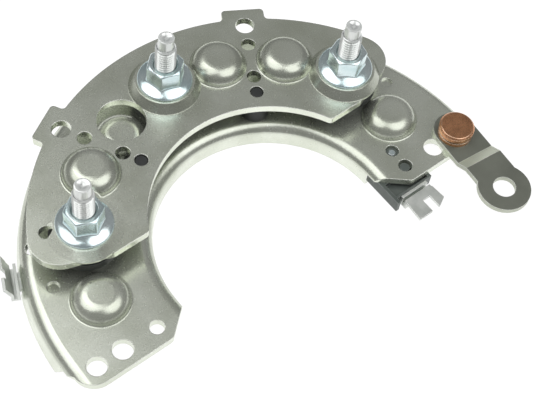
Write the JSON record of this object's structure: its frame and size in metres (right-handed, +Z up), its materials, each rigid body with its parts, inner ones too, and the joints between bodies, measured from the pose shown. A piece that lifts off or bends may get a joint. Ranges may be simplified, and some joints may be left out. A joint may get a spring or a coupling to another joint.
{
  "type": "alternator rectifier",
  "caption": "Horseshoe-shaped alternator rectifier: an upper and a lower plate with domed diode seats, threaded studs with flange nuts, a copper rivet and a connector strap.",
  "frame": {"origin": "common centre of the horseshoe's arcs, on the plane that the lower plate's rims stand on", "axes": "+Z up along the studs, +Y towards the closed side of the horseshoe, +X towards the end with the connector strap"},
  "size_m": [0.1182, 0.0901, 0.0315],
  "materials": {
    "sheet_metal": "satin, plated",
    "bright_zinc": "bright zinc",
    "strap_metal": "satin",
    "copper": "matte copper",
    "tinned_copper": "tinned",
    "moulding": "matte",
    "insulation": "matte",
    "resin": "matte"
  },
  "bodies": {
    "root": {"positive_plate": "sheet_metal", "negative_plate": "sheet_metal", "terminal_board": "moulding", "phase_bar_right": "tinned_copper", "phase_terminal_right": "tinned_copper", "phase_bar_middle": "tinned_copper", "phase_terminal_middle": "tinned_copper", "phase_bar_left": "tinned_copper", "phase_terminal_left": "tinned_copper", "positive_diode_1": "tinned_copper", "positive_sealing_1": "resin", "positive_diode_2": "tinned_copper", "positive_sealing_2": "resin", "positive_diode_3": "tinned_copper", "positive_sealing_3": "resin", "negative_diode_1": "tinned_copper", "negative_sealing_1": "resin", "negative_diode_2": "tinned_copper", "negative_sealing_2": "resin", "negative_diode_3": "tinned_copper", "negative_sealing_3": "resin", "mounting_studs": "bright_zinc", "flange_nuts": "bright_zinc", "insulating_spacer_1": "insulation", "insulating_washer_1": "insulation", "insulating_spacer_2": "insulation", "insulating_washer_2": "insulation", "insulating_spacer_3": "insulation", "insulating_washer_3": "insulation", "peg_spacer_left": "insulation", "peg_spacer_right": "insulation", "locating_pin": "bright_zinc", "contact_rivet": "copper", "connector_strap": "strap_metal"}
  },
  "joints": []
}
